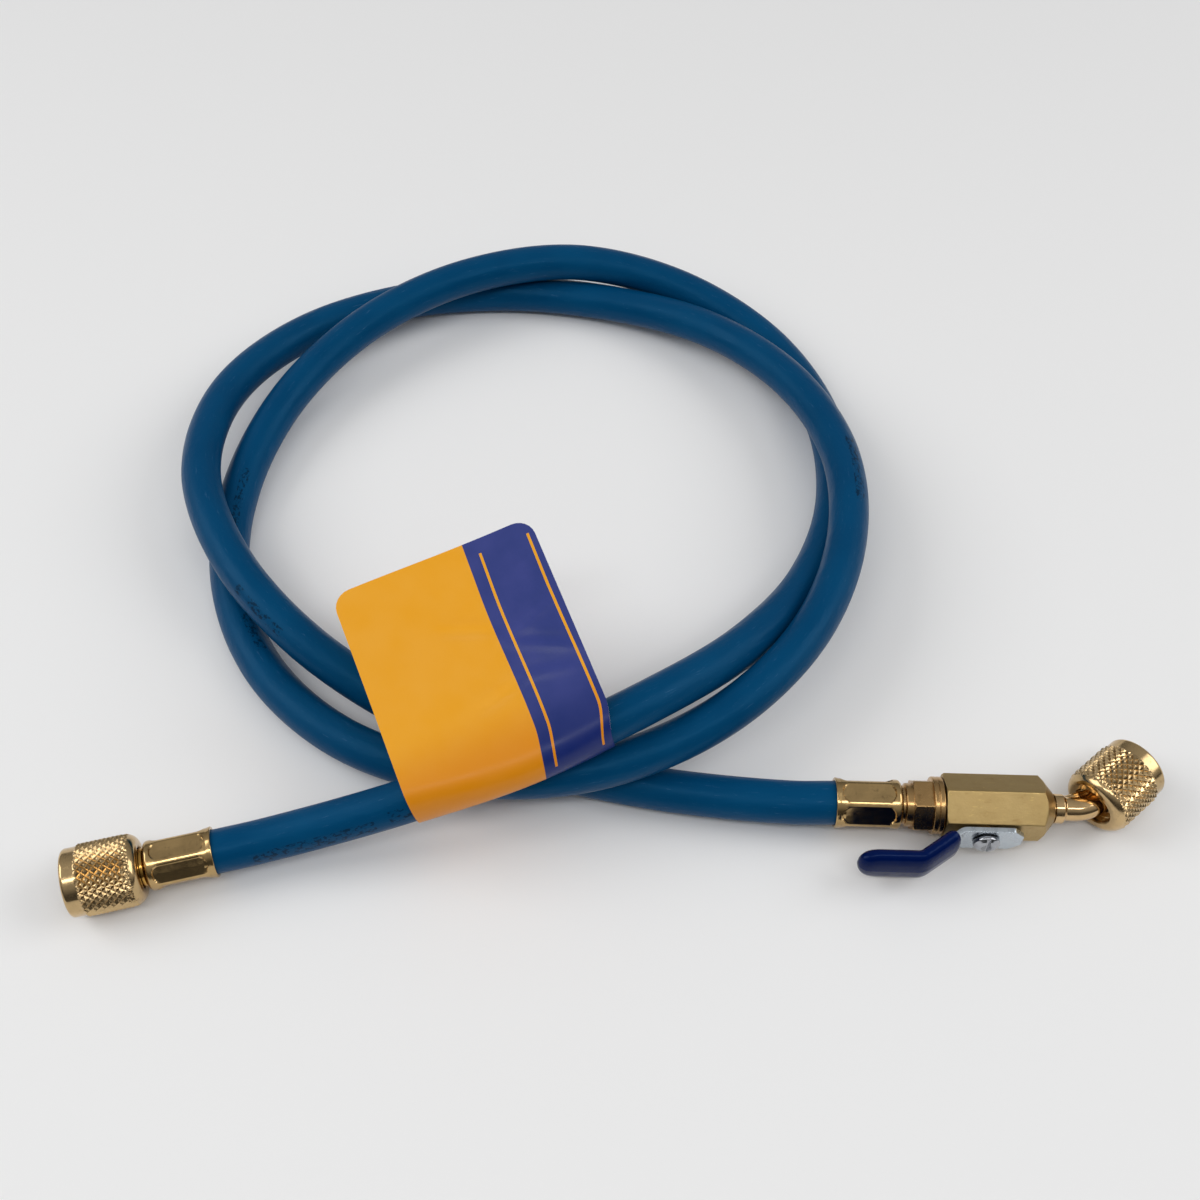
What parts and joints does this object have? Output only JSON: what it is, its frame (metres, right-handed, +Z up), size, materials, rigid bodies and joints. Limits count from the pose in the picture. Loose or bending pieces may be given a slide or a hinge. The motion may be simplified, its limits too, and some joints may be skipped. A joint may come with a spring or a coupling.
{
  "type": "refrigerant charging hose",
  "caption": "Flexible charging hose lying in loose loops, with knurled flare coupler nuts, crimped ferrules and a ball valve with a small lever and an angled outlet.",
  "frame": {"origin": "centre of the box round the end fittings, without the hose and its tag, on the floor", "axes": "+Z up from the floor the hose lies on; +X along the valve towards its outlet; +Y from the fittings towards the hose's loops"},
  "size_m": [0.2874, 0.2399, 0.0509],
  "materials": {
    "hose_jacket": "satin blue hose jacket",
    "tag_card": "coated card, orange with a dark blue band",
    "turned_brass": "bright turned brass, knurled on the nuts",
    "ferrule_brass": "polished darker brass",
    "body_brass": "satin brass",
    "seal_rubber": "matt black",
    "seat_plastic": "white seat plastic",
    "ball_chrome": "polished",
    "lever_zinc": "satin zinc plate",
    "grip_vinyl": "glossy dark blue dipped vinyl",
    "screw_steel": "bright plated"
  },
  "bodies": {
    "hose_and_valve": {"hose": "hose_jacket", "tag": "tag_card", "straight_stem": "turned_brass", "straight_washer": "seal_rubber", "straight_ferrule": "ferrule_brass", "valve_ferrule": "ferrule_brass", "hose_adapter": "ferrule_brass", "valve_body": "body_brass", "ball_seat_inlet": "seat_plastic", "ball_seat_outlet": "seat_plastic", "angle_tube": "turned_brass", "angle_washer": "seal_rubber", "core_depressor": "turned_brass"},
    "lever": {"valve_ball": "ball_chrome", "valve_shaft": "turned_brass", "lever_plate": "lever_zinc", "lever_grip": "grip_vinyl", "lever_screw": "screw_steel"},
    "straight_coupler": {"straight_nut": "turned_brass"},
    "angled_coupler": {"angle_nut": "turned_brass"}
  },
  "joints": [
    {"name": "lever_turn", "type": "hinge", "parent": "hose_and_valve", "child": "lever", "pos_m": [0.09479, 0.00874, 0.00945], "axis": [0, 1, 0], "range_deg": [0, 90]},
    {"name": "straight_nut_spin", "type": "hinge", "parent": "hose_and_valve", "child": "straight_coupler", "pos_m": [-0.1415, -0.02019, 0.00945], "axis": [0.9641, 0.2656, 0], "continuous": true},
    {"name": "angled_nut_spin", "type": "hinge", "parent": "hose_and_valve", "child": "angled_coupler", "pos_m": [0.13811, 0.02236, 0.00945], "axis": [0.7431, 0.6691, 0], "continuous": true}
  ]
}
